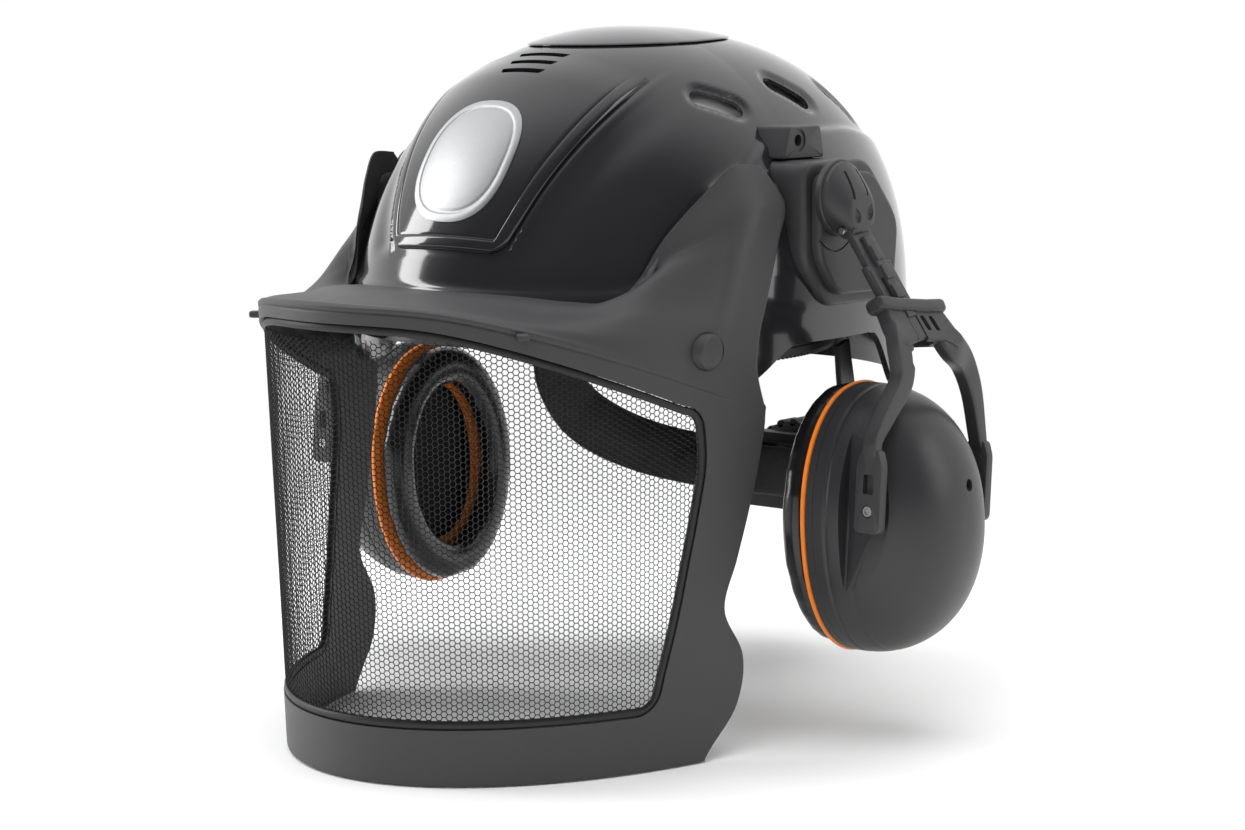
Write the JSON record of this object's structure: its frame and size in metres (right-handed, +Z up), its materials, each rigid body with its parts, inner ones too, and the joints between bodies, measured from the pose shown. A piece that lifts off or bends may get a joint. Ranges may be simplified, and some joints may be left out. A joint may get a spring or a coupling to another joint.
{
  "type": "forestry hard hat",
  "caption": "Glossy forestry hard hat with a lifting mesh face visor, swing-out ear muffs and an adjustable head harness.",
  "frame": {"origin": "the head's centre at the level of the ear arches, where a wearer's head holds the hat", "axes": "+X towards the wearer's left, -Y towards the face, +Z up through the crown"},
  "size_m": [0.344, 0.3427, 0.297],
  "materials": {
    "shell_gloss": "glossy",
    "panel_gloss": "glossy",
    "badge_metal": "satin",
    "trim_matte": "matte",
    "liner_grey": "matte",
    "harness_plastic": "matte",
    "sweat_fabric": "matte",
    "webbing": "woven",
    "pad_foam": "matte",
    "visor_matte": "matte",
    "mesh_steel": "satin",
    "gasket_rubber": "matte",
    "arm_plastic": "matte",
    "pin_steel": "satin",
    "cup_plastic": "satin",
    "accent_orange": "satin",
    "cushion_vinyl": "glossy",
    "cup_foam": "matte"
  },
  "bodies": {
    "helmet": {"shell": "shell_gloss", "front_panel": "panel_gloss", "badge": "badge_metal", "crown_insert": "trim_matte", "vent_liner_left": "liner_grey", "vent_liner_right": "liner_grey", "socket_left": "trim_matte", "socket_right": "trim_matte", "muff_mount_left": "trim_matte", "muff_mount_right": "trim_matte", "visor_adapter_left": "trim_matte", "visor_adapter_right": "trim_matte", "headband": "harness_plastic", "sweatband": "sweat_fabric", "crown_strap_front": "webbing", "crown_strap_middle": "webbing", "crown_strap_rear": "webbing", "crown_pad": "pad_foam", "harness_clips": "harness_plastic"},
    "nape": {"nape_strap": "harness_plastic", "nape_pad": "pad_foam", "knob_housing": "harness_plastic"},
    "knob": {"size_knob": "harness_plastic"},
    "visor": {"visor_frame": "visor_matte", "visor_mesh": "mesh_steel", "visor_gasket": "gasket_rubber"},
    "visor_button_left": {"visor_button_left": "visor_matte"},
    "visor_button_right": {"visor_button_right": "visor_matte"},
    "swivel_left": {"pivot_head_left": "arm_plastic", "hinge_pin_left": "pin_steel"},
    "arm_left": {"muff_arm_left": "arm_plastic"},
    "fork_left": {"muff_fork_left": "arm_plastic", "fork_pins_left": "pin_steel"},
    "cup_left": {"cup_shell_left": "cup_plastic", "cup_base_left": "cup_plastic", "accent_ring_left": "accent_orange", "cushion_left": "cushion_vinyl", "foam_left": "cup_foam"},
    "swivel_right": {"pivot_head_right": "arm_plastic", "hinge_pin_right": "pin_steel"},
    "arm_right": {"muff_arm_right": "arm_plastic"},
    "fork_right": {"muff_fork_right": "arm_plastic", "fork_pins_right": "pin_steel"},
    "cup_right": {"cup_shell_right": "cup_plastic", "cup_base_right": "cup_plastic", "accent_ring_right": "accent_orange", "cushion_right": "cushion_vinyl", "foam_right": "cup_foam"}
  },
  "joints": [
    {"name": "visor_tilt", "type": "hinge", "parent": "helmet", "child": "visor", "pos_m": [0, -0.048, 0.056], "axis": [-1, 0, 0], "range_deg": [0, 60]},
    {"name": "visor_button_left_press", "type": "slide", "parent": "visor", "child": "visor_button_left", "axis": [-1, 0, 0], "range_m": [0, 0.0015], "stiffness_N_per_m": 800},
    {"name": "visor_button_right_press", "type": "slide", "parent": "visor", "child": "visor_button_right", "axis": [1, 0, 0], "range_m": [0, 0.0015], "stiffness_N_per_m": 800},
    {"name": "nape_fit", "type": "slide", "parent": "helmet", "child": "nape", "axis": [0, -1, 0], "range_m": [-0.0084, 0.0084]},
    {"name": "size_knob_turn", "type": "hinge", "parent": "nape", "child": "knob", "pos_m": [0, 0.13, -0.08], "axis": [0, 1, 0], "range_deg": [-270, 270]},
    {"name": "muff_swing_left", "type": "hinge", "parent": "helmet", "child": "swivel_left", "pos_m": [0.112, -0.01, 0.06], "axis": [1, 0, 0], "range_deg": [-6, 30]},
    {"name": "muff_tilt_left", "type": "hinge", "parent": "swivel_left", "child": "arm_left", "pos_m": [0.124, -0.00875, 0.04807], "axis": [0, -0.9945, -0.1045], "range_deg": [-8, 22]},
    {"name": "muff_height_left", "type": "slide", "parent": "arm_left", "child": "fork_left", "axis": [0.515, 0.0896, -0.8525], "range_m": [-0.01, 0.012]},
    {"name": "cup_tilt_left", "type": "hinge", "parent": "fork_left", "child": "cup_left", "pos_m": [0.152, 0.00328, -0.0663], "axis": [0, -0.9976, 0.0698], "range_deg": [-10, 10]},
    {"name": "muff_swing_right", "type": "hinge", "parent": "helmet", "child": "swivel_right", "pos_m": [-0.112, -0.01, 0.06], "axis": [1, 0, 0], "range_deg": [-6, 30]},
    {"name": "muff_tilt_right", "type": "hinge", "parent": "swivel_right", "child": "arm_right", "pos_m": [-0.124, -0.00875, 0.04807], "axis": [0, 0.9945, 0.1045], "range_deg": [-8, 22]},
    {"name": "muff_height_right", "type": "slide", "parent": "arm_right", "child": "fork_right", "axis": [-0.515, 0.0896, -0.8525], "range_m": [-0.01, 0.012]},
    {"name": "cup_tilt_right", "type": "hinge", "parent": "fork_right", "child": "cup_right", "pos_m": [-0.152, 0.00328, -0.0663], "axis": [0, 0.9976, -0.0698], "range_deg": [-10, 10]}
  ],
  "couplings": [
    {"joint": "size_knob_turn", "follows": "nape_fit", "rad_per_m": 555}
  ]
}
